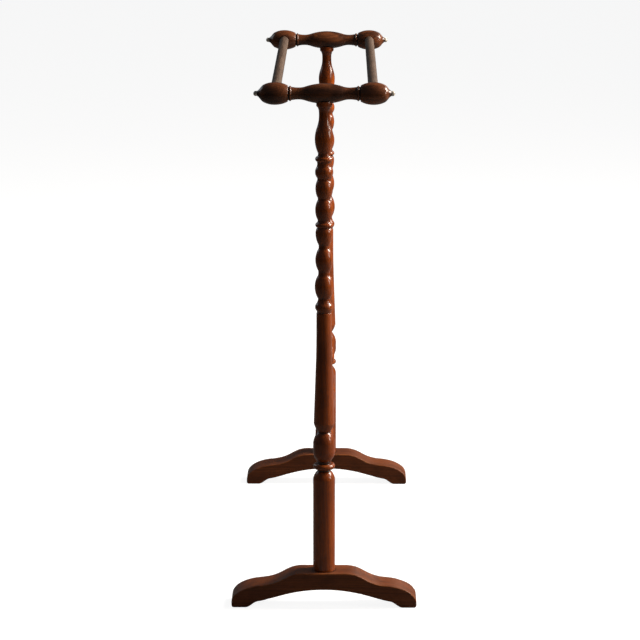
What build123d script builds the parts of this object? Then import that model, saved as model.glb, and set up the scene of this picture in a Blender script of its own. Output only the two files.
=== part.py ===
"""Valet stand: two turned end frames tied by two plain rods and a turned stretcher.

Millimetres, +Z up. The origin is on the floor midway between the two end frames, the rods run
along Y, and the front frame is the one at negative Y.
"""

import os
from math import asin, cos, sin, tan

from build123d import *

os.makedirs("parts", exist_ok=True)

# ---------------------------------------------------------------- overall sizes
stand_height = 1000.0     # floor to the top of the knobs
frame_spacing = 820.0     # between the axes of the front and rear posts
foot_length = 352.0       # across the stand
rod_spacing = 181.0       # between the axes of the two rods

# ---------------------------------------------------------------- foot
foot_thickness = 56.0     # along Y
foot_height = 67.5        # floor to the seat that carries the post
foot_arch_height = 35.0   # floor to the crown of the arch
foot_seat_width = 80.0    # level top under the post
foot_shoulder_height = 43.5
foot_shoulder_inset = 56.0      # from the end of the foot to its shoulder
foot_toe_height = 9.0           # straight part of the toe
foot_pad_width = 27.0
foot_pad_rise = 12.0            # height of the hollow that frees the pad
foot_pad_hollow = 23.0          # width of that hollow
foot_corner = 4.5               # of the toe at the floor
foot_edge = 1.2                 # softened edges

# ---------------------------------------------------------------- post
post_radius = 20.8        # base, lower ring and barrel
post_base_length = 179.5
barrel_foot = 22.0        # curved lower end of the barrel
barrel_straight = 14.0
barrel_top = 21.0
neck_radius = 12.2        # beside the lower ring and the barrel
taper_start_radius = 19.6
taper_end_radius = 12.9
foot_tenon_radius = 11.5
top_tenon_radius = 8.0
top_tenon_length = 20.0
collar_radius = 14.6      # of the post's top, under the crossbar
collar_length = 6.0       # plain part of the collar, partly inside the crossbar
wedge_width = 4.5         # at the end of the tenon
wedge_tip_width = 1.0
wedge_depth = 24.0

# ---------------------------------------------------------------- crossbar
crossbar_middle_radius = 18.7
crossbar_neck_radius = 11.0
crossbar_flare_radius = 12.4    # where the neck meets the ring
crossbar_ring_radius = 14.2
crossbar_ring_width = 3.8
knob_groove_width = 2.2
knob_radius = 20.8
knob_inner_length = 24.0  # from the ring's groove to the knob's crown
knob_inner_reach = 34.0   # half axis of the ellipse on that side
knob_outer_length = 20.5  # from the crown to where the knob draws in to its point
knob_outer_reach = 32.2   # half axis of the ellipse on that side
knob_point_length = 12.0  # hollow cone that ends at the throat
knob_throat_radius = 4.6
tip_radius = 4.7          # of the small bone button on the knob's point
tip_length = 6.5
tip_spigot_radius = 2.2   # of the pin that holds it
tip_spigot_length = 9.0
collar_housing = 4.6      # depth to which the post's collar is let into the crossbar

# ---------------------------------------------------------------- rods and stretcher
rod_radius = 9.5
rod_end_wall = 7.0        # left between a rod's end and the outer face of its knob
rod_chamfer = 1.0
stretcher_middle_radius = 20.6
stretcher_vase_radius = 20.3
stretcher_neck_radius = 9.4
stretcher_groove_radius = 10.5
stretcher_end_radius = 11.0
stretcher_tenon_radius = 8.0
stretcher_tenon_length = 23.0
stretcher_housing = 4.0   # depth to which its ends are let into the barrels


# ---------------------------------------------------------------- turning
# A turned outline is a list of steps along the work: (kind, length, end radius, swell). An arc's
# swell is how far its middle stands out from the chord between its ends, or in if negative.


def straight(length, radius):
    """A cone or cylinder, or a square shoulder if it has no length."""
    return ("straight", length, radius, 0)


def arc(length, swell, radius):
    """A bead, bobbin or shoulder, or a cove if the swell is negative."""
    return ("arc", length, radius, swell)


def ogee(length, radius):
    """An S curve that leaves and arrives in line with the axis."""
    return ("ogee", length, radius, 0)


def disc(thickness, rim, neck, rounding):
    """A thin ring with a rounded rim and square sides, which ends on a neck."""
    return [straight(0, rim - rounding), arc(thickness, rounding, rim - rounding), straight(0, neck)]


def length_of(steps):
    return sum(step[1] for step in steps)


def draw_turning(radius, steps, at=0.0):
    """Draw the steps up the sketch's Y axis, from a start radius, and return the last point."""
    for kind, length, end_radius, swell in steps:
        here, there = (radius, at), (end_radius, at + length)
        pull = 0.45 * length
        if kind == "straight" and here != there:
            Line(here, there)
        elif kind == "arc":
            ThreePointArc(here, ((radius + end_radius) / 2 + swell, at + length / 2), there)
        elif kind == "ogee":
            Bezier(here, (radius, at + pull), (end_radius, at + length - pull), there)
        radius, at = there
    return radius, at


def draw_section(radius, steps, start=0.0):
    """Draw the steps and close them along the sketch's Y axis."""
    Line((0, start), (radius, start))
    last = draw_turning(radius, steps, start)
    Polyline(last, (0, last[1]), (0, start))


# ---------------------------------------------------------------- turned outlines
bobbin_neck = 11.5        # between the lower three bobbins
upper_bobbin_neck = 11.9  # between the upper three
slim_neck_radius = 9.7    # between the vase and the collar

post_lower = [
    straight(post_base_length, post_radius),
    arc(16.5, 1.9, neck_radius),
    straight(4, neck_radius),
    *disc(10, post_radius, neck_radius, rounding=3.6),
    straight(4.5, neck_radius),
]
post_barrel = [
    arc(barrel_foot, 2.6, post_radius),
    straight(barrel_straight, post_radius),
    arc(barrel_top, 1.8, neck_radius - 0.4),
]
post_taper_foot = [arc(17, 0.8, taper_start_radius)]
post_upper = [
    straight(0, taper_end_radius + 1.5),       # fillet and bead that end the taper
    straight(4.5, taper_end_radius + 1.5),
    arc(13.5, 2.6, taper_end_radius + 1.5),
    arc(9.5, -0.8, bobbin_neck),
    arc(44, 6.1, bobbin_neck),                 # three bobbins
    arc(9, -0.6, bobbin_neck),
    arc(42, 5.5, 10.2),
    straight(6, 10.2),
    arc(22, 1.5, 16.0),
    arc(10.5, 0.9, 13.4),
    straight(1.5, 13.4),
    *disc(8, 16.4, 13.6, rounding=2.2),        # ring
    arc(5, -0.4, upper_bobbin_neck),
    arc(38, 4.7, upper_bobbin_neck),           # three more bobbins
    straight(3, upper_bobbin_neck),
    arc(34.5, 3.8, 12.8),
    straight(3, 12.8),
    arc(21.5, 3.5, 13.8),
    arc(10, -0.8, 13.6),
    *disc(8.5, 16.7, 13.2, rounding=2.4),      # ring
    arc(6.5, -0.6, 11.4),
    arc(26, 1.5, 17.3),                        # vase
    ogee(43, slim_neck_radius),
    straight(5, slim_neck_radius),
    arc(12, -0.8, collar_radius - 2),
    straight(0, collar_radius - 1),
    arc(4, 0.4, collar_radius),
]

crossbar_height = stand_height - knob_radius
collar_top = crossbar_height - crossbar_middle_radius + collar_housing
barrel_length = length_of(post_barrel)
stretcher_height = foot_height + length_of(post_lower) + barrel_length / 2
taper_length = (
    collar_top - collar_length - foot_height
    - length_of(post_lower + post_barrel + post_taper_foot + post_upper)
)
post_steps = [
    straight(foot_height - foot_arch_height, foot_tenon_radius),
    straight(0, post_radius),
    *post_lower,
    *post_barrel,
    *post_taper_foot,
    arc(taper_length, -0.3, taper_end_radius),
    *post_upper,
    straight(collar_length, collar_radius),
    straight(0, top_tenon_radius),
    straight(top_tenon_length, top_tenon_radius),
]

# The stretcher, from its middle to one end.
stretcher_bead = [arc(20, 6.9, stretcher_groove_radius), straight(5, stretcher_groove_radius)]
stretcher_disc = disc(9, 16.6, stretcher_groove_radius, rounding=3.0)
stretcher_middle = [
    arc(8.5, 1.2, stretcher_middle_radius - 4.1),      # half of the central bead
    straight(0, stretcher_vase_radius - 5.8),
    straight(3.5, stretcher_vase_radius - 5.8),
    arc(26, 1.5, stretcher_vase_radius),
    arc(50, 0.5, stretcher_vase_radius - 0.9),
]
stretcher_end = [
    straight(6, stretcher_neck_radius),
    arc(12, -1.1, stretcher_neck_radius + 3.2),
    *stretcher_disc,
    straight(5, stretcher_groove_radius),
    *stretcher_bead,
    *stretcher_bead,
    *stretcher_disc,
    arc(26, 1.9, stretcher_end_radius),
    straight(20, stretcher_end_radius),
]
stretcher_shoulder = post_radius - stretcher_housing   # from the post's axis
stretcher_half = frame_spacing / 2 - stretcher_shoulder
stretcher_steps = [
    *stretcher_middle,
    ogee(stretcher_half - length_of(stretcher_middle + stretcher_end), stretcher_neck_radius),
    *stretcher_end,
    straight(0, stretcher_tenon_radius),
    straight(stretcher_tenon_length, stretcher_tenon_radius),
]

# The crossbar, from its middle to the crown of one knob.
knob_x = rod_spacing / 2
ring_x = knob_x - knob_inner_length - knob_groove_width - crossbar_ring_width
knob_inner_angle = asin(knob_inner_length / knob_inner_reach)
knob_outer_angle = asin(knob_outer_length / knob_outer_reach)
knob_throat = knob_x + knob_outer_length + knob_point_length
crossbar_steps = [
    arc(0.53 * ring_x, 1.2, crossbar_middle_radius - 5),
    arc(0.23 * ring_x, -0.6, crossbar_neck_radius),
    arc(0.24 * ring_x, -0.4, crossbar_flare_radius),
    *disc(crossbar_ring_width, crossbar_ring_radius, crossbar_flare_radius, rounding=1.3),
    straight(knob_groove_width, crossbar_flare_radius),
    straight(0, knob_radius * cos(knob_inner_angle)),
]

rod_end = knob_radius - rod_end_wall                   # beyond the post's axis


# ---------------------------------------------------------------- pieces
kept = []


def keep(part, name):
    """Label a finished piece and write it."""
    part.label = name
    kept.append(part)
    export_step(part, f"parts/{name}.step")


def draw_knob_side(reach, start, end):
    """A stretch of the knob's ellipse, between two angles from its crown."""
    handle = 4 / 3 * tan((end - start) / 4)

    def on_ellipse(angle, along=0.0):
        return (
            knob_radius * (cos(angle) - along * sin(angle)),
            knob_x + reach * (sin(angle) + along * cos(angle)),
        )

    return Bezier(
        on_ellipse(start), on_ellipse(start, handle), on_ellipse(end, -handle), on_ellipse(end)
    )


def draw_tip():
    """Half section of a tip: a domed button and the pin that enters the knob's end."""
    point = (0, knob_throat + tip_length)
    Spline(
        (knob_throat_radius, knob_throat),
        (tip_radius, knob_throat + 0.45 * tip_length),
        point,
        tangents=((0.1, 1), (-1, 0)),
    )
    Polyline(
        point,
        (0, knob_throat - tip_spigot_length),
        (tip_spigot_radius, knob_throat - tip_spigot_length),
        (tip_spigot_radius, knob_throat),
        (knob_throat_radius, knob_throat),
    )


def draw_wedge():
    """Outline of the wedge, from the end of the foot tenon upwards."""
    Polyline(
        (-wedge_width / 2, foot_arch_height),
        (wedge_width / 2, foot_arch_height),
        (wedge_tip_width / 2, foot_arch_height + wedge_depth),
        (-wedge_tip_width / 2, foot_arch_height + wedge_depth),
        close=True,
    )


def draw_foot():
    """Half of the foot's outline, from the seat's middle round the toe to the arch's crown."""
    half = foot_length / 2
    seat = foot_seat_width / 2
    shoulder = half - foot_shoulder_inset
    bend = seat + 0.45 * (shoulder - seat)
    pad = half - foot_pad_width
    hollow = pad - foot_pad_hollow
    Line((0, foot_height), (seat, foot_height))
    Bezier(
        (seat, foot_height),
        (bend, foot_height),
        (bend, foot_shoulder_height + 3),
        (shoulder, foot_shoulder_height),
    )
    Bezier(
        (shoulder, foot_shoulder_height),
        (shoulder + 0.55 * foot_shoulder_inset, foot_shoulder_height - 3),
        (half, foot_toe_height + 19),
        (half, foot_toe_height),
    )
    Line((half, foot_toe_height), (half, foot_corner))
    RadiusArc((half, foot_corner), (half - foot_corner, 0), foot_corner)
    Line((half - foot_corner, 0), (pad, 0))
    Bezier((pad, 0), (pad - 9, 1), (hollow + 9, foot_pad_rise - 2), (hollow, foot_pad_rise))
    Bezier(
        (hollow, foot_pad_rise),
        (0.75 * hollow, foot_pad_rise + 5),
        (0.5 * hollow, foot_arch_height),
        (0, foot_arch_height),
    )
    Line((0, foot_arch_height), (0, foot_height))


for end, outward in (("front", -1), ("rear", 1)):
    # The end frame's own plane: X across the stand, Y up, Z away from the other frame.
    frame_y = outward * frame_spacing / 2
    frame = Plane(origin=(0, frame_y, 0), x_dir=(-outward, 0, 0), z_dir=(0, outward, 0))
    post_axis = Axis((0, frame_y, 0), (0, 0, 1))
    crossbar_axis = Axis((0, frame_y, crossbar_height), (1, 0, 0))

    with BuildPart() as foot:
        with BuildSketch(frame):
            with BuildLine():
                draw_foot()
            make_face()
            mirror(about=Plane.YZ)
        extrude(amount=foot_thickness / 2, both=True)
        faces = foot.faces().filter_by(Axis.Y)
        fillet(faces.edges(), foot_edge)
        with BuildSketch(Plane.XY):
            with Locations((0, frame_y)):
                Circle(foot_tenon_radius)
        extrude(amount=foot_height, mode=Mode.SUBTRACT)
    keep(foot.part, f"{end}_foot")

    with BuildPart() as wedge:
        with BuildSketch(frame):
            with BuildLine():
                draw_wedge()
            make_face()
        extrude(amount=foot_tenon_radius, both=True)
        with BuildSketch(Plane.XY):
            with Locations((0, frame_y)):
                Circle(foot_tenon_radius)
        extrude(amount=foot_height, mode=Mode.INTERSECT)
    keep(wedge.part, f"{end}_wedge")

    with BuildPart() as post:
        with BuildSketch(frame):
            with BuildLine():
                draw_section(foot_tenon_radius, post_steps, foot_arch_height)
            make_face()
        revolve(axis=post_axis)
        with BuildSketch(frame):
            with BuildLine():
                draw_wedge()
            make_face()
        extrude(amount=foot_tenon_radius, both=True, mode=Mode.SUBTRACT)
        with BuildSketch(frame.offset(-stretcher_shoulder)):
            with Locations((0, stretcher_height)):
                Circle(stretcher_end_radius)
        extrude(amount=-2 * stretcher_housing, mode=Mode.SUBTRACT)
        with BuildSketch(frame.offset(-stretcher_shoulder)):
            with Locations((0, stretcher_height)):
                Circle(stretcher_tenon_radius)
        extrude(amount=stretcher_tenon_length, mode=Mode.SUBTRACT)
    keep(post.part, f"{end}_post")

    with BuildPart() as crossbar:
        # The section's Y runs along the bar, and its X is the radius.
        with BuildSketch(
            Plane(origin=(0, frame_y, crossbar_height), x_dir=(0, 0, 1), z_dir=(0, 1, 0))
        ):
            with BuildLine():
                Line((0, 0), (crossbar_middle_radius, 0))
                draw_turning(crossbar_middle_radius, crossbar_steps)
                draw_knob_side(knob_inner_reach, -knob_inner_angle, 0)
                outer = draw_knob_side(knob_outer_reach, 0, knob_outer_angle)
                Spline(
                    outer @ 1, (knob_throat_radius, knob_throat), tangents=(outer % 1, (-0.5, 1))
                )
                Polyline(
                    (knob_throat_radius, knob_throat),
                    (tip_spigot_radius, knob_throat),
                    (tip_spigot_radius, knob_throat - tip_spigot_length),
                    (0, knob_throat - tip_spigot_length),
                    (0, 0),
                )
            make_face()
            mirror(about=Plane.XZ)
        revolve(axis=crossbar_axis)
        with BuildSketch(Plane.XY.offset(collar_top)):
            with Locations((0, frame_y)):
                Circle(collar_radius)
        extrude(amount=-crossbar_middle_radius, mode=Mode.SUBTRACT)
        with BuildSketch(Plane.XY.offset(collar_top)):
            with Locations((0, frame_y)):
                Circle(top_tenon_radius)
        extrude(amount=top_tenon_length, mode=Mode.SUBTRACT)
        with BuildSketch(frame.offset(rod_end)):
            with Locations((-knob_x, crossbar_height), (knob_x, crossbar_height)):
                Circle(rod_radius)
        extrude(amount=-2 * knob_radius, mode=Mode.SUBTRACT)
    keep(crossbar.part, f"{end}_crossbar")

    for side, sign in (("left", -1), ("right", 1)):
        with BuildPart() as tip:
            with BuildSketch(
                Plane(origin=(0, frame_y, crossbar_height), x_dir=(0, 0, 1), z_dir=(0, sign, 0))
            ):
                with BuildLine():
                    draw_tip()
                make_face()
            revolve(axis=crossbar_axis)
        keep(tip.part, f"{end}_{side}_tip")

for side, sign in (("left", -1), ("right", 1)):
    with BuildPart() as rod:
        with BuildSketch(Plane.XZ):
            with Locations((sign * knob_x, crossbar_height)):
                Circle(rod_radius)
        extrude(amount=frame_spacing / 2 + rod_end, both=True)
        chamfer(rod.faces().filter_by(Axis.Y).edges(), rod_chamfer)
    keep(rod.part, f"{side}_rod")

with BuildPart() as stretcher:
    # The section's Y runs along the stretcher, and its X is the radius.
    with BuildSketch(Plane(origin=(0, 0, stretcher_height), x_dir=(0, 0, 1), z_dir=(-1, 0, 0))):
        with BuildLine():
            draw_section(stretcher_middle_radius, stretcher_steps)
        make_face()
        mirror(about=Plane.XZ)
    revolve(axis=Axis((0, 0, stretcher_height), (0, 1, 0)))
keep(stretcher.part, "stretcher")

print(f"{len(kept)} pieces, taper {taper_length:.1f}, stretcher at {stretcher_height:.1f}")
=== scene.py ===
"""Looks of the valet stand: its turned and sawn pieces remade in fine meshes round the CAD frame.

Metres, +Z up. The rods run along Y and the front frame is the one at negative Y, as in the frame.
"""

import math

import bmesh
import bpy
import numpy as np
from mathutils import Matrix, Vector, noise


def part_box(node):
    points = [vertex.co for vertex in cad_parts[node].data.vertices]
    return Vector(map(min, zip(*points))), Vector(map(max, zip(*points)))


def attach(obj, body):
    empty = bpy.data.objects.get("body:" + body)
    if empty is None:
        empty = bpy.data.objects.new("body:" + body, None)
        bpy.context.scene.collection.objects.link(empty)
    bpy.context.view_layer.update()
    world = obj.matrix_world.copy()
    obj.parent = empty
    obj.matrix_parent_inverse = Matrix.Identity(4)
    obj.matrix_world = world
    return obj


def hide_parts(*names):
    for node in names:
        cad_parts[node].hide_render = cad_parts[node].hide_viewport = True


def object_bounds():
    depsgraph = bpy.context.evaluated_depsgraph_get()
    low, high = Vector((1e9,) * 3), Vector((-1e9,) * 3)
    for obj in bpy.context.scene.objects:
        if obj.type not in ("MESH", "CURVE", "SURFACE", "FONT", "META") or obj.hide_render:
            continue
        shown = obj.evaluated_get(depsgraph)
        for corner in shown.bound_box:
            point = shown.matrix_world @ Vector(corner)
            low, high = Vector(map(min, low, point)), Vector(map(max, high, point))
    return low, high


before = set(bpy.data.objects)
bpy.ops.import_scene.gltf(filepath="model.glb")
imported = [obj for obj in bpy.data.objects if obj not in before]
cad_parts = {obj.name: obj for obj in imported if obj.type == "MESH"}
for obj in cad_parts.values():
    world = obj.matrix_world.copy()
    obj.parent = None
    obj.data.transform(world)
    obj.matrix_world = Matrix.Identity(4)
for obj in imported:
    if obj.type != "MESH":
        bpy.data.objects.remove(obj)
cad_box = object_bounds()

MM = 0.001
X, Y, Z = 0, 1, 2
SHARP_ANGLE = math.radians(50)
DRILL_LENGTH = 1.0         # far more than the height of a foot


def centre_of(node):
    """Middle of a CAD node's box."""
    low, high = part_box(node)
    return (low + high) / 2


def points_of(node):
    """A CAD node's vertices as an array."""
    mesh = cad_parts[node].data
    points = np.zeros(len(mesh.vertices) * 3)
    mesh.vertices.foreach_get("co", points)
    return points.reshape(-1, 3)


# ---------------------------------------------------------------- meshes
def new_piece(name, vertices, faces, node, material):
    """Make a smooth-shaded piece on the root body that stands in for a CAD node, which it hides."""
    mesh = bpy.data.meshes.new(name)
    mesh.from_pydata(vertices, [], faces)
    mesh.validate()
    mesh.shade_smooth()
    mesh.materials.append(material)
    piece = bpy.data.objects.new(name, mesh)
    bpy.context.scene.collection.objects.link(piece)
    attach(piece, "root")
    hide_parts(node)
    return piece


def paint(piece, name, values):
    """Store one number per vertex, which the piece's material reads."""
    attribute = piece.data.attributes.get(name) or piece.data.attributes.new(name, "FLOAT", "POINT")
    attribute.data.foreach_set("value", np.asarray(values, np.float32))


def painted(piece, name):
    values = np.zeros(len(piece.data.vertices), np.float32)
    piece.data.attributes[name].data.foreach_get("value", values)
    return values


def vertices_of(piece):
    points = np.zeros(len(piece.data.vertices) * 3)
    piece.data.vertices.foreach_get("co", points)
    return points.reshape(-1, 3)


def cut_away(piece, cutter):
    """Take the cutter's solid out of a piece, and keep the new edges sharp."""
    modifier = piece.modifiers.new("cut", "BOOLEAN")
    modifier.operation = "DIFFERENCE"
    modifier.solver = "EXACT"
    modifier.object = cutter
    evaluated = piece.evaluated_get(bpy.context.evaluated_depsgraph_get())
    mesh = bpy.data.meshes.new_from_object(evaluated)
    piece.modifiers.clear()
    uncut = piece.data
    piece.data = mesh
    bpy.data.meshes.remove(uncut)
    mesh.shade_smooth()
    mesh.set_sharp_from_angle(angle=SHARP_ANGLE)


def drill(piece, centre, radius):
    """Bore a round vertical hole right through a low piece, about a point inside it."""
    mesh = bpy.data.meshes.new("drill")
    form = bmesh.new()
    bmesh.ops.create_cone(
        form,
        cap_ends=True,
        segments=SEGMENTS,
        radius1=radius,
        radius2=radius,
        depth=DRILL_LENGTH,
        matrix=Matrix.Translation(centre),
    )
    form.to_mesh(mesh)
    form.free()
    cutter = bpy.data.objects.new("drill", mesh)
    bpy.context.scene.collection.objects.link(cutter)
    cut_away(piece, cutter)
    bpy.data.objects.remove(cutter)
    bpy.data.meshes.remove(mesh)


# ---------------------------------------------------------------- turned pieces
RING_MEMBERS = 12          # a level of a CAD mesh is a turned ring if it has this many vertices
CORNER_ANGLE = math.radians(24)
STRAIGHT_RATIO = 4         # a step this much longer than the one beside it is a straight stretch
CORNER_ROUNDING = 0.35 * MM
CURVE_STEP = 0.9 * MM
STRAIGHT_STEP = 5 * MM
SEGMENTS = 84
OVALITY = 0.004            # old turned wood has shrunk a little across its rings
TURNING_WAVER = 0.07 * MM  # unevenness left by the turner's hand
WAVER_LENGTH = 14 * MM
SAME_RING = 0.02 * MM      # radii this close belong to one ring
LEAST_RADIUS = 0.02 * MM
RELIEF_REACH = 4 * MM      # length of the stretch whose mean radius a point is compared with
GROOVE_DEPTH = 1.5 * MM    # a hollow this deep is darkened fully, with old polish and painted shade
CROWN_HEIGHT = 1.6 * MM    # a rim this high is rubbed most


def rings_at(radii):
    """The radii that at least RING_MEMBERS vertices of one level share."""
    radii = np.sort(radii)
    groups = np.split(radii, np.flatnonzero(np.diff(radii) > SAME_RING) + 1)
    return [float(group.mean()) for group in groups if len(group) >= RING_MEMBERS]


def read_outline(node, axis, centre, bore):
    """Rings of a revolved CAD node, as (place along its axis, radius), from end to end.

    Rings no wider than the bore belong to blind holes in the two ends.
    """
    points = points_of(node)
    across = [i for i in (X, Y, Z) if i != axis]
    radii = np.hypot(*(points[:, i] - centre[i] for i in across))
    levels = points[:, axis].round(5)
    low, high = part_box(node)
    outside, holes = [(low[axis], 0.0)], []
    for level in np.unique(levels):
        rings = rings_at(radii[levels == level])
        holes += [(float(level), radius) for radius in rings if radius <= bore]
        rings = [radius for radius in rings if radius > bore]
        rings = [rings[0], rings[-1]] if len(rings) > 2 else rings
        rings.sort(key=lambda radius: abs(radius - outside[-1][1]))
        outside += [(float(level), radius) for radius in rings]
    outside.append((high[axis], 0.0))
    if holes:
        first = [ring for ring in holes[::-1] if ring[0] < centre[axis]]
        last = [ring for ring in holes[::-1] if ring[0] > centre[axis]]
        outside = [(first[0][0], 0.0), *first, *outside[1:-1], *last, (last[-1][0], 0.0)]
    return np.array(outside)


def without_repeats(outline, least=0.03 * MM):
    kept = [outline[0]]
    for point in outline[1:]:
        if np.linalg.norm(point - kept[-1]) > least:
            kept.append(point)
    return np.array(kept)


def split_at_corners(outline):
    """Smooth stretches of an outline, each with the corner points at its ends."""
    steps = np.diff(outline, axis=0)
    headings = np.unwrap(np.arctan2(steps[:, 1], steps[:, 0]))
    lengths = np.linalg.norm(steps, axis=1)
    uneven = np.maximum(lengths[1:] / lengths[:-1], lengths[:-1] / lengths[1:]) > STRAIGHT_RATIO
    corners = 1 + np.flatnonzero((np.abs(np.diff(headings)) > CORNER_ANGLE) | uneven)
    ends = [0, *corners, len(outline) - 1]
    return [outline[a : b + 1] for a, b in zip(ends, ends[1:])]


def refine(stretch):
    """Points along a smooth curve through a stretch, close together where it bends."""
    if len(stretch) == 2:
        length = np.linalg.norm(stretch[1] - stretch[0])
        share = np.linspace(0, 1, max(2, math.ceil(length / STRAIGHT_STEP) + 1))[:, None]
        return stretch[0] + share * (stretch[1] - stretch[0])
    lengths = np.linalg.norm(np.diff(stretch, axis=0), axis=1)
    at = np.concatenate(([0], np.cumsum(lengths)))
    slopes = np.gradient(stretch, at, axis=0)
    points = [stretch[0]]
    for i, length in enumerate(lengths):
        count = max(1, round(length / CURVE_STEP))
        for t in np.linspace(0, 1, count + 1)[1:]:
            points.append(
                (2 * t**3 - 3 * t**2 + 1) * stretch[i]
                + (t**3 - 2 * t**2 + t) * length * slopes[i]
                + (3 * t**2 - 2 * t**3) * stretch[i + 1]
                + (t**3 - t**2) * length * slopes[i + 1]
            )
    return np.array(points)


def fine_outline(node, axis, centre, bore):
    """The node's outline with smooth curves and slightly rounded corners."""
    outline = without_repeats(read_outline(node, axis, centre, bore))
    stretches = [refine(stretch) for stretch in split_at_corners(outline)]
    points = list(stretches[0][:-1])
    for before, after in zip(stretches, stretches[1:]):
        corner = after[0]
        back = corner - before[-2]
        ahead = after[1] - corner
        cut = min(CORNER_ROUNDING, 0.4 * np.linalg.norm(back), 0.4 * np.linalg.norm(ahead))
        start = corner - back / np.linalg.norm(back) * cut
        end = corner + ahead / np.linalg.norm(ahead) * cut
        points += [start, (start + 2 * corner + end) / 4, end, *after[1:-1]]
    points.append(stretches[-1][-1])
    outline = np.array(points)
    outline[:, 1] = outline[:, 1].clip(0)
    return outline


def relief(outline, reach):
    """How far each point of an outline stands out from the mean radius within that reach."""
    along = outline[:, 0]
    weights = np.exp(-(((along[:, None] - along[None, :]) / reach) ** 2))
    spacing = np.gradient(along).clip(1e-6)
    weights *= spacing[None, :]
    return outline[:, 1] - (weights @ outline[:, 1]) / weights.sum(axis=1)


def turned(name, node, axis, centre, material, seed, bore=0.0):
    """A lathe-turned piece with the CAD node's outline, a little oval and uneven."""
    outline = fine_outline(node, axis, centre, bore)
    across = [i for i in (X, Y, Z) if i != axis]
    angles = np.linspace(0, 2 * math.pi, SEGMENTS, endpoint=False)
    narrow = 0.5 - 0.5 * np.cos(2 * (angles - seed))
    rings = outline[1:-1]
    waver = np.array([0.5 + 0.5 * noise.noise((x / WAVER_LENGTH, seed, 0)) for x in rings[:, 0]])
    radii = rings[:, 1, None] * (1 - OVALITY * narrow) - TURNING_WAVER * waver[:, None]
    radii = radii.clip(LEAST_RADIUS)
    points = np.zeros((len(rings), SEGMENTS, 3))
    points[..., axis] = rings[:, 0, None]
    points[..., across[0]] = centre[across[0]] + radii * np.cos(angles)
    points[..., across[1]] = centre[across[1]] + radii * np.sin(angles)
    tips = np.tile(np.array(centre), (2, 1))
    tips[:, axis] = outline[0, 0], outline[-1, 0]
    vertices = np.concatenate((points.reshape(-1, 3), tips))

    faces = []
    last = len(rings) - 1
    first_tip, last_tip = len(vertices) - 2, len(vertices) - 1
    flip = axis == Y
    for j in range(SEGMENTS):
        k = (j + 1) % SEGMENTS
        column = [
            (i * SEGMENTS + j, i * SEGMENTS + k, (i + 1) * SEGMENTS + k, (i + 1) * SEGMENTS + j)
            for i in range(last)
        ]
        column.append((first_tip, k, j))
        column.append((last_tip, last * SEGMENTS + j, last * SEGMENTS + k))
        faces += [face[::-1] for face in column] if flip else column
    piece = new_piece(name, vertices.tolist(), faces, node, material)

    # How deep each ring lies in a hollow, which the material darkens with old polish and painted shade, and
    # how high it stands on a rim.
    height = relief(rings, RELIEF_REACH)
    paint(piece, "groove", [*np.repeat((-height / GROOVE_DEPTH).clip(0, 1), SEGMENTS), 0, 0])
    paint(piece, "crown", [*np.repeat((height / CROWN_HEIGHT).clip(0, 1), SEGMENTS), 0, 0])
    return piece


def darken_seam(piece, axis, centre, radius, reach, beyond=None):
    """Old polish and dust round the line where another round piece enters this one."""
    points = vertices_of(piece)
    across = [i for i in (X, Y, Z) if i != axis]
    distance = np.hypot(*(points[:, i] - centre[i] for i in across)) - radius
    darkening = np.exp(-((distance.clip(0) / reach) ** 2))
    if beyond is not None:
        darkening *= beyond(points)
    paint(piece, "groove", np.maximum(painted(piece, "groove"), darkening))


# ---------------------------------------------------------------- feet
OUTLINE_MEMBERS = 400      # vertices on the CAD foot's outline, more than on any level nearer its middle
FOOT_STEP = 1.6 * MM
FOOT_EDGE = 1.6 * MM
EDGE_POINTS = 6
WORN_AWAY = 0.7 * MM       # scale of the bruises on a foot's edges
LARGE_BRUISE = 16 * MM
SMALL_BRUISE = 5 * MM


def read_foot_outline(node):
    """The foot's outline in X and Z, from the ring of edges where its flat sides start to round."""
    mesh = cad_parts[node].data
    points = points_of(node)
    middle = centre_of(node)
    depth = np.abs(points[:, Y] - middle[Y]).round(5)
    levels, count = np.unique(depth, return_counts=True)
    level = levels[count > OUTLINE_MEMBERS][0]
    chosen = (depth == level) & (points[:, Y] > middle[Y])
    key = [tuple(p) for p in points[:, [X, Z]].round(5)]
    joined = {}
    for edge in mesh.edges:
        a, b = edge.vertices
        if chosen[a] and chosen[b] and key[a] != key[b]:
            joined.setdefault(key[a], set()).add(key[b])
            joined.setdefault(key[b], set()).add(key[a])
    start = max(joined)
    loop = [start]
    here, before = min(joined[start], key=lambda p: p[1]), start
    while here != start:
        loop.append(here)
        here, before = next(p for p in joined[here] if p != before), here
    return np.array(loop)


def resample(loop, step):
    """Evenly spaced points round a closed loop."""
    closed = np.vstack((loop, loop[:1]))
    at = np.concatenate(([0], np.cumsum(np.linalg.norm(np.diff(closed, axis=0), axis=1))))
    places = np.linspace(0, at[-1], round(at[-1] / step), endpoint=False)
    return np.column_stack([np.interp(places, at, closed[:, i]) for i in (0, 1)])


def double_area(loop):
    """Twice a closed loop's area, positive if the loop runs anticlockwise."""
    return np.sum(loop[:, 0] * np.roll(loop[:, 1], -1) - np.roll(loop[:, 0], -1) * loop[:, 1])


def inward(loop):
    """Unit normals of a closed clockwise or anticlockwise loop, towards its inside."""
    ahead = np.roll(loop, -2, axis=0) - np.roll(loop, 2, axis=0)
    normals = np.column_stack((-ahead[:, 1], ahead[:, 0]))
    normals /= np.linalg.norm(normals, axis=1)[:, None]
    return normals * (1 if double_area(loop) > 0 else -1)


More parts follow.
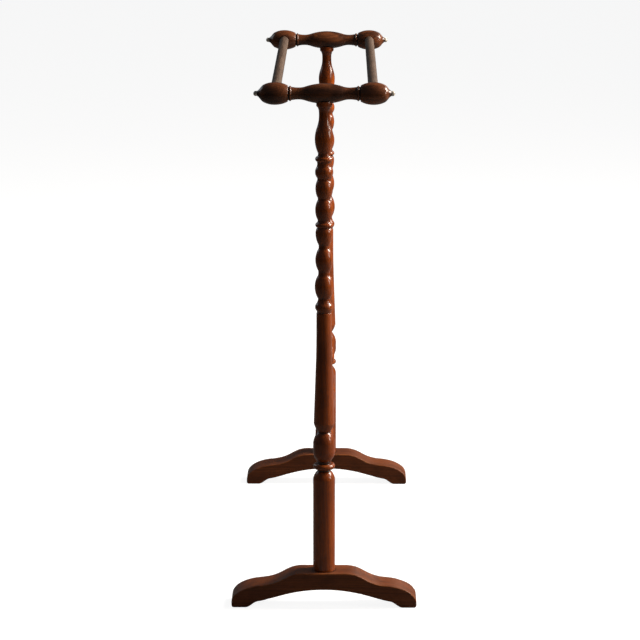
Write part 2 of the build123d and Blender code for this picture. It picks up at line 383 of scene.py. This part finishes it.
def sawn_foot(name, node, material, seed):
    """A bracket foot: its outline swept through its thickness, with soft and bruised edges."""
    loop = resample(read_foot_outline(node), FOOT_STEP)
    normals = inward(loop)
    low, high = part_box(node)
    middle, half = (low[Y] + high[Y]) / 2, (high[Y] - low[Y]) / 2
    # The section from one flat side to the other, as (place in Y, how far inside the outline).
    turn = np.linspace(0, math.pi / 2, EDGE_POINTS)
    rounding = [(-half + FOOT_EDGE * (1 - math.sin(a)), FOOT_EDGE * (1 - math.cos(a))) for a in turn[::-1]]
    inner = [(-half, FOOT_EDGE + 1.2 * MM), (-half, FOOT_EDGE + 0.4 * MM)]
    side = [(y, 0.0) for y in np.linspace(-half + FOOT_EDGE, 0, 9)[1:]]
    section = inner + rounding + side
    section += [(-y, inset) for y, inset in section[-2::-1]]

    vertices, edge_wear = [], []
    for y, inset in section:
        at_edge = abs(abs(y) - half) < FOOT_EDGE * 1.01 and inset <= FOOT_EDGE
        for (px, pz), (nx, nz) in zip(loop, normals):
            spot = noise.noise((px / LARGE_BRUISE, math.copysign(3, y) + seed, pz / LARGE_BRUISE))
            spot += 0.5 * noise.noise((px / SMALL_BRUISE, math.copysign(5, y) + seed, pz / SMALL_BRUISE))
            bruise = WORN_AWAY * max(0.0, spot - 0.25) if at_edge else 0.0
            keep = 0 if pz < 1 * MM else 1
            depth = inset + bruise * keep
            inner_y = y - math.copysign(bruise * keep * 0.6, y) if abs(y) > 0 else y
            vertices.append((px + nx * depth, middle + inner_y, max(0.0, pz + nz * depth)))
            edge_wear.append(1.0 if at_edge and FOOT_EDGE > inset > 0 else 0.0)
    count = len(loop)
    faces = [
        (i * count + j, i * count + (j + 1) % count, (i + 1) * count + (j + 1) % count, (i + 1) * count + j)
        for i in range(len(section) - 1)
        for j in range(count)
    ]
    faces.append(tuple(range(count))[::-1])
    faces.append(tuple(range((len(section) - 1) * count, len(section) * count)))
    if double_area(loop) > 0:
        faces = [face[::-1] for face in faces]
    piece = new_piece(name, vertices, faces, node, material)
    paint(piece, "groove", np.zeros(len(vertices)))
    paint(piece, "crown", edge_wear)
    return piece


# ---------------------------------------------------------------- materials
def add(tree, kind, values=None, **settings):
    """Add a node. Values maps its inputs to plain numbers or to the output that feeds them."""
    node = tree.nodes.new(kind)
    for name, value in settings.items():
        setattr(node, name, value)
    for name, value in (values or {}).items():
        if isinstance(value, bpy.types.NodeSocket):
            tree.links.new(value, node.inputs[name])
        else:
            node.inputs[name].default_value = value
    return node


def calculate(tree, operation, *values):
    """A Math node's result."""
    node = add(tree, "ShaderNodeMath", dict(enumerate(values)), operation=operation)
    return node.outputs[0]


def spread(tree, value, low, high, to_low=0.0, to_high=1.0):
    """Rescale a number from one range to another, without going outside it."""
    values = {"Value": value, "From Min": low, "From Max": high, "To Min": to_low, "To Max": to_high}
    return add(tree, "ShaderNodeMapRange", values, clamp=True).outputs[0]


def blend_colours(tree, share, first, second, how="MIX"):
    values = {0: share, 6: first, 7: second}
    return add(tree, "ShaderNodeMix", values, data_type="RGBA", blend_type=how).outputs[2]


def scaled(tree, vector, scale):
    values = {"Vector": vector, "Scale": scale}
    return add(tree, "ShaderNodeMapping", values, vector_type="POINT").outputs[0]


def cloud(tree, vector, scale=1.0, detail=2.0, rough=0.5):
    values = {"Vector": vector, "Scale": scale, "Detail": detail, "Roughness": rough}
    return add(tree, "ShaderNodeTexNoise", values)


def along_grain(axis, across, along):
    """Texture scales for features that are long in the grain's direction."""
    return [along if i == axis else across for i in (X, Y, Z)]


def wood(name, grain, pith, look):
    """Solid wood cut from a log: rings about its pith, fibre streaks, pores, stain and polish."""
    material = bpy.data.materials.new(name)
    material.use_nodes = True
    tree = material.node_tree
    tree.nodes.clear()
    place = add(tree, "ShaderNodeTexCoord").outputs["Object"]

    # Growth rings: distance from a wandering pith, turned into uneven bands.
    wander = cloud(tree, scaled(tree, place, along_grain(grain, 14, 3)), detail=3)
    shift = add(
        tree, "ShaderNodeVectorMath", {0: wander.outputs["Color"], 1: (0.5, 0.5, 0.5)}, operation="SUBTRACT"
    ).outputs[0]
    bent = add(
        tree, "ShaderNodeVectorMath", {0: shift, 1: (0.02, 0.02, 0.02), 2: place}, operation="MULTIPLY_ADD"
    ).outputs[0]
    from_pith = add(tree, "ShaderNodeVectorMath", {0: bent, 1: pith}, operation="SUBTRACT").outputs[0]
    flat = scaled(tree, from_pith, along_grain(grain, 1, 0))
    radius = add(tree, "ShaderNodeVectorMath", {0: flat}, operation="LENGTH").outputs["Value"]
    values = {"W": radius, "Scale": look["rings"], "Detail": 3.0, "Roughness": 0.6}
    rings = add(tree, "ShaderNodeTexNoise", values, noise_dimensions="1D").outputs[0]

    streaks = cloud(tree, scaled(tree, bent, along_grain(grain, 420, 11)), detail=4, rough=0.65).outputs[0]
    fibres = cloud(tree, scaled(tree, place, along_grain(grain, 2600, 70)), detail=2).outputs[0]
    pores = spread(
        tree,
        cloud(tree, scaled(tree, place, along_grain(grain, 1500, 75)), detail=1).outputs[0],
        0.60,
        0.70,
    )
    broad = cloud(tree, scaled(tree, place, along_grain(grain, 22, 7)), detail=3).outputs[0]
    patches = cloud(tree, place, scale=38, detail=4, rough=0.6).outputs[0]

    figure = calculate(tree, "MULTIPLY_ADD", rings, 0.55, calculate(tree, "MULTIPLY", streaks, 0.45))
    figure = spread(tree, figure, 0.38, 0.62)
    colour = blend_colours(tree, figure, look["dark"], look["light"])
    tone = spread(tree, broad, 0.35, 0.68)
    colour = blend_colours(tree, calculate(tree, "MULTIPLY", tone, 0.65), colour, look["deep"])
    colour = blend_colours(tree, calculate(tree, "MULTIPLY", pores, look["pores"]), colour, look["pore"])
    stains = cloud(tree, scaled(tree, place, along_grain(grain, 34, 20)), detail=3, rough=0.55).outputs[0]
    stains = spread(tree, stains, 0.50, 0.62)
    colour = blend_colours(tree, calculate(tree, "MULTIPLY", stains, look["stain"]), colour, look["soot"])

    # Grooves darkened with old polish and painted shade, seams with old polish, and polish rubbed thin on
    # rims and edges.
    groove = add(tree, "ShaderNodeAttribute", attribute_name="groove").outputs["Fac"]
    crown = add(tree, "ShaderNodeAttribute", attribute_name="crown").outputs["Fac"]
    uneven = spread(tree, patches, 0.38, 0.6)
    darkening = calculate(tree, "MULTIPLY", groove, calculate(tree, "MULTIPLY_ADD", uneven, 0.3, 0.65))
    rubbed = calculate(tree, "MULTIPLY", crown, calculate(tree, "MULTIPLY", uneven, look["wear"]))
    colour = blend_colours(tree, darkening, colour, look["soot"])
    colour = blend_colours(tree, rubbed, colour, look["worn"])

    rough = calculate(tree, "MULTIPLY_ADD", figure, 0.1, look["roughness"])
    rough = calculate(tree, "MULTIPLY_ADD", darkening, 0.2, rough)
    rough = calculate(tree, "MULTIPLY_ADD", rubbed, 0.15, rough)
    rough = calculate(tree, "MULTIPLY_ADD", uneven, 0.06, rough)

    height = calculate(tree, "MULTIPLY_ADD", fibres, 0.35, calculate(tree, "MULTIPLY", streaks, 0.4))
    height = calculate(tree, "SUBTRACT", height, calculate(tree, "MULTIPLY", pores, 0.6))
    values = {"Height": height, "Strength": look["relief"], "Distance": 0.12 * MM}
    grain_normal = add(tree, "ShaderNodeBump", values).outputs[0]
    swell = calculate(tree, "MULTIPLY_ADD", patches, 4.0, calculate(tree, "MULTIPLY", height, 0.5))
    values = {"Height": swell, "Strength": look["film_relief"], "Distance": 0.12 * MM}
    film_normal = add(tree, "ShaderNodeBump", values).outputs[0]

    shader = add(
        tree,
        "ShaderNodeBsdfPrincipled",
        {
            "Base Color": colour,
            "Roughness": rough,
            "Normal": grain_normal,
            "Coat Normal": film_normal,
            "Coat Weight": look["coat"],
            "Coat Roughness": look["coat_roughness"],
            "Coat IOR": 1.5,
            "IOR": 1.45,
            "Specular IOR Level": look["shine"],
        },
    )
    output = add(tree, "ShaderNodeOutputMaterial")
    tree.links.new(shader.outputs[0], output.inputs["Surface"])
    return material


def bone():
    """Polished bone: pale, with faint lengthwise canals, a yellower ground and a grey film of age."""
    material = bpy.data.materials.new("bone")
    material.use_nodes = True
    tree = material.node_tree
    tree.nodes.clear()
    place = add(tree, "ShaderNodeTexCoord").outputs["Object"]
    canals = cloud(tree, scaled(tree, place, along_grain(X, 2600, 300)), detail=2).outputs[0]
    clouds = cloud(tree, place, scale=260, detail=3).outputs[0]
    ground = spread(tree, clouds, 0.35, 0.65)
    colour = blend_colours(tree, ground, (0.52, 0.45, 0.36, 1), (0.72, 0.67, 0.58, 1))
    lines = spread(tree, canals, 0.58, 0.72)
    colour = blend_colours(tree, calculate(tree, "MULTIPLY", lines, 0.5), colour, (0.30, 0.22, 0.14, 1))
    # Darker in its grooves, with old dirt and painted shade.
    groove = add(tree, "ShaderNodeAttribute", attribute_name="groove").outputs["Fac"]
    colour = blend_colours(tree, calculate(tree, "MULTIPLY", groove, 0.8), colour, (0.10, 0.06, 0.035, 1))
    rough = calculate(tree, "MULTIPLY_ADD", ground, 0.12, 0.26)
    values = {"Height": canals, "Strength": 0.3, "Distance": 0.08 * MM}
    normal = add(tree, "ShaderNodeBump", values).outputs[0]
    values = {"Base Color": colour, "Roughness": rough, "Normal": normal, "IOR": 1.54}
    shader = add(tree, "ShaderNodeBsdfPrincipled", values)
    output = add(tree, "ShaderNodeOutputMaterial")
    tree.links.new(shader.outputs[0], output.inputs["Surface"])
    return material


POLISHED = {
    "dark": (0.175, 0.033, 0.004, 1),
    "light": (0.330, 0.068, 0.007, 1),
    "deep": (0.140, 0.026, 0.004, 1),
    "pore": (0.030, 0.009, 0.004, 1),
    "soot": (0.012, 0.005, 0.003, 1),
    "worn": (0.420, 0.150, 0.040, 1),
    "rings": 330.0,
    "stain": 0.25,
    "pores": 0.5,
    "wear": 0.15,
    "roughness": 0.32,
    "shine": 0.06,
    "relief": 0.35,
    "coat": 0.75,
    "coat_roughness": 0.19,
    "film_relief": 0.25,
}
# The crossbars' wood: the posts' mahogany with darker colours as painted shade, more stain and a thinner
# coat.
CROSSBAR_SHADED = POLISHED | {
    "dark": (0.095, 0.028, 0.009, 1),
    "light": (0.185, 0.055, 0.016, 1),
    "deep": (0.070, 0.022, 0.009, 1),
    "stain": 0.7,
    "coat": 0.6,
}
# The feet's sawn wood: rougher and thinly coated, with colours darker than the posts' as painted shade.
SAWN_SHADED = POLISHED | {
    "dark": (0.110, 0.030, 0.010, 1),
    "light": (0.195, 0.055, 0.016, 1),
    "deep": (0.090, 0.025, 0.009, 1),
    "wear": 0.25,
    "roughness": 0.38,
    "shine": 0.1,
    "coat": 0.2,
    "coat_roughness": 0.28,
    "relief": 0.5,
}
WAXED = POLISHED | {
    "dark": (0.055, 0.032, 0.020, 1),
    "light": (0.110, 0.070, 0.046, 1),
    "deep": (0.060, 0.034, 0.021, 1),
    "pore": (0.024, 0.014, 0.009, 1),
    "worn": (0.160, 0.110, 0.075, 1),
    "pores": 0.7,
    "roughness": 0.5,
    "shine": 0.25,
    "coat": 0.0,
    "coat_roughness": 0.35,
    "relief": 0.7,
}
BARE = WAXED | {
    "dark": (0.200, 0.110, 0.060, 1),
    "light": (0.340, 0.210, 0.120, 1),
    "deep": (0.240, 0.130, 0.070, 1),
    "roughness": 0.65,
}


def cut_from(node, name, grain, look, offset):
    """Wood for one piece, from a log whose pith runs beside the piece at that offset."""
    pith = centre_of(node) + Vector(offset)
    return wood(name, grain, pith, look)


# ---------------------------------------------------------------- pieces
rod_radius = (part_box("left_rod")[1][X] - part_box("left_rod")[0][X]) / 2
foot_tenon_radius = 11.5 * MM
collar_radius = 14.6 * MM   # of the post's top, under the crossbar
spigot_radius = 2.4 * MM    # a little over that of the bone tips' spigots
foot_seam = 2.5 * MM        # how far dirt spreads from the line where one piece enters another
rod_seam = 1.6 * MM
collar_seam = 2 * MM
collar_side = 8 * MM        # the collar's seam is at least this far below the crossbar's axis

for seed, (end, inner) in enumerate((("front", 1), ("rear", -1))):
    post_node, foot_node, bar_node = f"{end}_post", f"{end}_foot", f"{end}_crossbar"
    centre = Vector((0, centre_of(foot_node)[Y], centre_of("left_rod")[Z]))
    post = turned(
        f"turned_{end}_post",
        post_node,
        Z,
        centre,
        cut_from(post_node, f"{end}_post_mahogany", Z, POLISHED, (0.055 - 0.13 * seed, 0.045, 0)),
        seed + 0.4,
    )
    bar = turned(
        f"turned_{end}_crossbar",
        bar_node,
        X,
        centre,
        cut_from(bar_node, f"{end}_crossbar_mahogany_painted_shade", X, CROSSBAR_SHADED, (0, 0.06, -0.04 - 0.03 * seed)),
        seed + 2.1,
        bore=spigot_radius,
    )
    foot = sawn_foot(
        f"sawn_{end}_foot",
        foot_node,
        cut_from(foot_node, f"{end}_foot_mahogany_painted_shade", X, SAWN_SHADED, (0, 0.02, -0.09 + 0.03 * seed)),
        seed + 7.3,
    )
    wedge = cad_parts[f"{end}_wedge"]
    cut_away(post, wedge)
    drill(foot, centre_of(foot_node), foot_tenon_radius)
    wedge.data.materials.clear()
    wedge.data.materials.append(
        cut_from(f"{end}_wedge", f"{end}_wedge_wood", Z, BARE, (0.03, 0.02, 0))
    )
    base_radius = (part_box(post_node)[1][X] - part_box(post_node)[0][X]) / 2
    darken_seam(foot, Z, centre, base_radius, foot_seam)

    for rod in ("left_rod", "right_rod"):
        darken_seam(
            bar,
            Y,
            centre_of(rod),
            rod_radius,
            rod_seam,
            lambda points: (points[:, Y] - centre[Y]) * inner > 0,
        )
    darken_seam(
        bar,
        Z,
        centre,
        collar_radius,
        collar_seam,
        lambda points: points[:, Z] < centre[Z] - collar_side,
    )

bone_material = bone()
for end in ("front", "rear"):
    for side in ("left", "right"):
        node = f"{end}_{side}_tip"
        turned(f"turned_{node}", node, X, centre_of(node), bone_material, 1.0)

for side, offset in (("left", 0.03), ("right", -0.045)):
    node = f"{side}_rod"
    turned(
        f"plain_{side}_rod",
        node,
        Y,
        centre_of(node),
        cut_from(node, f"{side}_rod_waxed_wood", Y, WAXED, (offset, 0, 0.04)),
        5.2 + offset,
    )

turned(
    "turned_stretcher",
    "stretcher",
    Y,
    centre_of("stretcher"),
    cut_from("stretcher", "stretcher_mahogany", Y, POLISHED, (0.05, 0, 0.05)),
    3.3,
)

# ---------------------------------------------------------------- stage
stand_low, stand_high = cad_box
middle = (stand_low + stand_high) / 2


def make_floor():
    """A pale floor that looks nearly white, and throws little light back on the stand."""
    size = 60.0
    mesh = bpy.data.meshes.new("floor")
    corners = [(-size, -size, 0), (size, -size, 0), (size, size, 0), (-size, size, 0)]
    mesh.from_pydata(corners, [], [(0, 1, 2, 3)])
    material = bpy.data.materials.new("pale_floor")
    material.use_nodes = True
    tree = material.node_tree
    tree.nodes.clear()
    seen = add(tree, "ShaderNodeLightPath").outputs["Is Camera Ray"]
    colour = blend_colours(tree, seen, (0.14, 0.14, 0.14, 1), (0.3, 0.3, 0.3, 1))
    matt = add(tree, "ShaderNodeBsdfDiffuse", {"Color": colour}).outputs[0]
    glow = add(tree, "ShaderNodeEmission", {"Strength": calculate(tree, "MULTIPLY", seen, 0.90)}).outputs[0]
    both = add(tree, "ShaderNodeAddShader", {0: matt, 1: glow}).outputs[0]
    output = add(tree, "ShaderNodeOutputMaterial")
    tree.links.new(both, output.inputs["Surface"])
    mesh.materials.append(material)
    floor = bpy.data.objects.new("floor", mesh)
    bpy.context.scene.collection.objects.link(floor)


def direction(azimuth, elevation):
    """Unit vector from the stand: azimuth 0 is towards the camera, and 90 to its right."""
    a, e = math.radians(azimuth), math.radians(elevation)
    return Vector((math.sin(a) * math.cos(e), -math.cos(a) * math.cos(e), math.sin(e)))


WARM = (1.0, 0.9, 0.8)
COOL = (0.82, 0.92, 1.0)


def softbox(name, azimuth, elevation, distance, width, height, power, colour):
    """A rectangular lamp that faces the middle of the stand."""
    lamp = bpy.data.lights.new(name, "AREA")
    lamp.shape = "RECTANGLE"
    lamp.size, lamp.size_y = width, height
    lamp.energy = power
    lamp.color = colour
    box = bpy.data.objects.new(name, lamp)
    towards = direction(azimuth, elevation)
    box.location = middle + towards * distance
    box.rotation_mode = "QUATERNION"
    box.rotation_quaternion = towards.to_track_quat("Z", "Y")
    bpy.context.scene.collection.objects.link(box)


def make_surroundings():
    """A dim studio that is lighter behind and to the right, and plain white to the camera."""
    world = bpy.data.worlds.new("studio")
    bpy.context.scene.world = world
    world.use_nodes = True
    tree = world.node_tree
    tree.nodes.clear()
    towards = add(tree, "ShaderNodeTexCoord").outputs["Generated"]
    lit_side = add(
        tree, "ShaderNodeVectorMath", {0: towards, 1: (0.55, 0.75, 0.35)}, operation="DOT_PRODUCT"
    ).outputs["Value"]
    level = spread(tree, lit_side, -0.5, 0.9, 0.075, 0.09)
    seen = add(tree, "ShaderNodeLightPath").outputs["Is Camera Ray"]
    colour = blend_colours(tree, seen, (0.84, 0.93, 1.0, 1), (1, 1, 1, 1))
    strength = calculate(tree, "MAXIMUM", seen, level)
    background = add(tree, "ShaderNodeBackground", {"Color": colour, "Strength": strength}).outputs[0]
    output = add(tree, "ShaderNodeOutputWorld")
    tree.links.new(background, output.inputs["Surface"])


def make_camera():
    camera = bpy.data.cameras.new("camera")
    camera.sensor_width = 36
    camera.lens = 145.5
    holder = bpy.data.objects.new("camera", camera)
    holder.location = (0.0314, -5.105, 1.6387)
    down, left = 13.0, 0.477
    holder.rotation_euler = (math.radians(90 - down), 0, math.radians(left))
    bpy.context.scene.collection.objects.link(holder)
    bpy.context.scene.camera = holder


make_floor()
make_surroundings()
softbox("key", 98, 36, 3.2, 1.2, 1.5, 252, WARM)
softbox("window", 68, 16, 3.2, 0.5, 0.9, 24, WARM)
softbox("right_fill", 150, 25, 3.5, 1.8, 1.8, 16, WARM)
softbox("left_fill", 232, 28, 3.5, 1.8, 1.8, 16, COOL)
make_camera()
bpy.context.scene.view_settings.view_transform = "Standard"
